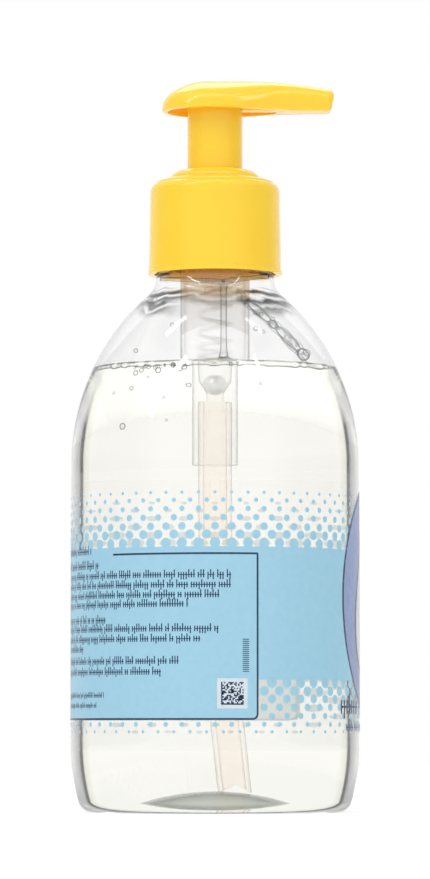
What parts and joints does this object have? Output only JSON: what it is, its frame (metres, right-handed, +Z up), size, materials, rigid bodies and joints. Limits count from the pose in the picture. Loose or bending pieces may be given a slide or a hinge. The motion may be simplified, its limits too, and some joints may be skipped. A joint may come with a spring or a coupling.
{
  "type": "hand soap pump bottle",
  "caption": "Clear round bottle of liquid soap with a wrap-round printed film label and a yellow lotion pump: screw collar, sprung piston pump and saddle head.",
  "frame": {"origin": "centre of the bottle's base, on the plane it stands on", "axes": "+Z up along the bottle's axis, +X along the nozzle and towards the middle of the label's front"},
  "size_m": [0.0642, 0.0642, 0.163],
  "materials": {
    "clear_pet": "gloss",
    "label_film": "gloss",
    "clear_soap": "gloss",
    "gasket_foam": "matte",
    "ball_steel": "polished",
    "spring_steel": "satin",
    "tube_polyethylene": "satin",
    "natural_polypropylene": "satin",
    "yellow_polypropylene": "gloss"
  },
  "bodies": {
    "bottle_body": {"bottle": "clear_pet", "label": "label_film", "soap_liquid": "clear_soap"},
    "pump_body": {"pump_housing": "natural_polypropylene", "lock_ring": "yellow_polypropylene", "neck_gasket": "gasket_foam", "dip_tube": "tube_polyethylene", "spring": "spring_steel"},
    "collar_body": {"collar": "yellow_polypropylene"},
    "ball_body": {"inlet_ball": "ball_steel"},
    "piston_body": {"piston": "natural_polypropylene"},
    "stem_body": {"stem": "natural_polypropylene", "stem_plug": "natural_polypropylene"},
    "head_body": {"pump_head": "yellow_polypropylene"}
  },
  "joints": [
    {"name": "pump_lift", "type": "slide", "parent": "bottle_body", "child": "pump_body", "axis": [0, 0, 1], "range_m": [0, 0.00635], "deforming": ["soap_liquid"]},
    {"name": "collar_unscrew", "type": "hinge", "parent": "pump_body", "child": "collar_body", "pos_m": [0, 0, 0.13], "axis": [0, 0, 1], "range_deg": [0, 540]},
    {"name": "head_press", "type": "slide", "parent": "pump_body", "child": "piston_body", "axis": [0, 0, 1], "range_m": [-0.0105, 0], "stiffness_N_per_m": 700, "springref_m": 0.01, "deforming": ["spring"]},
    {"name": "valve_slip", "type": "slide", "parent": "piston_body", "child": "stem_body", "axis": [0, 0, 1], "range_m": [-0.001, 0], "stiffness_N_per_m": 700, "springref_m": 0.01},
    {"name": "head_turn", "type": "hinge", "parent": "stem_body", "child": "head_body", "pos_m": [0, 0, 0.15], "axis": [0, 0, 1], "continuous": true},
    {"name": "ball_lift", "type": "slide", "parent": "pump_body", "child": "ball_body", "axis": [0, 0, 1], "range_m": [0, 0.0022]}
  ],
  "couplings": [
    {"joint": "pump_lift", "follows": "collar_unscrew", "m_per_rad": 0.0006737}
  ]
}
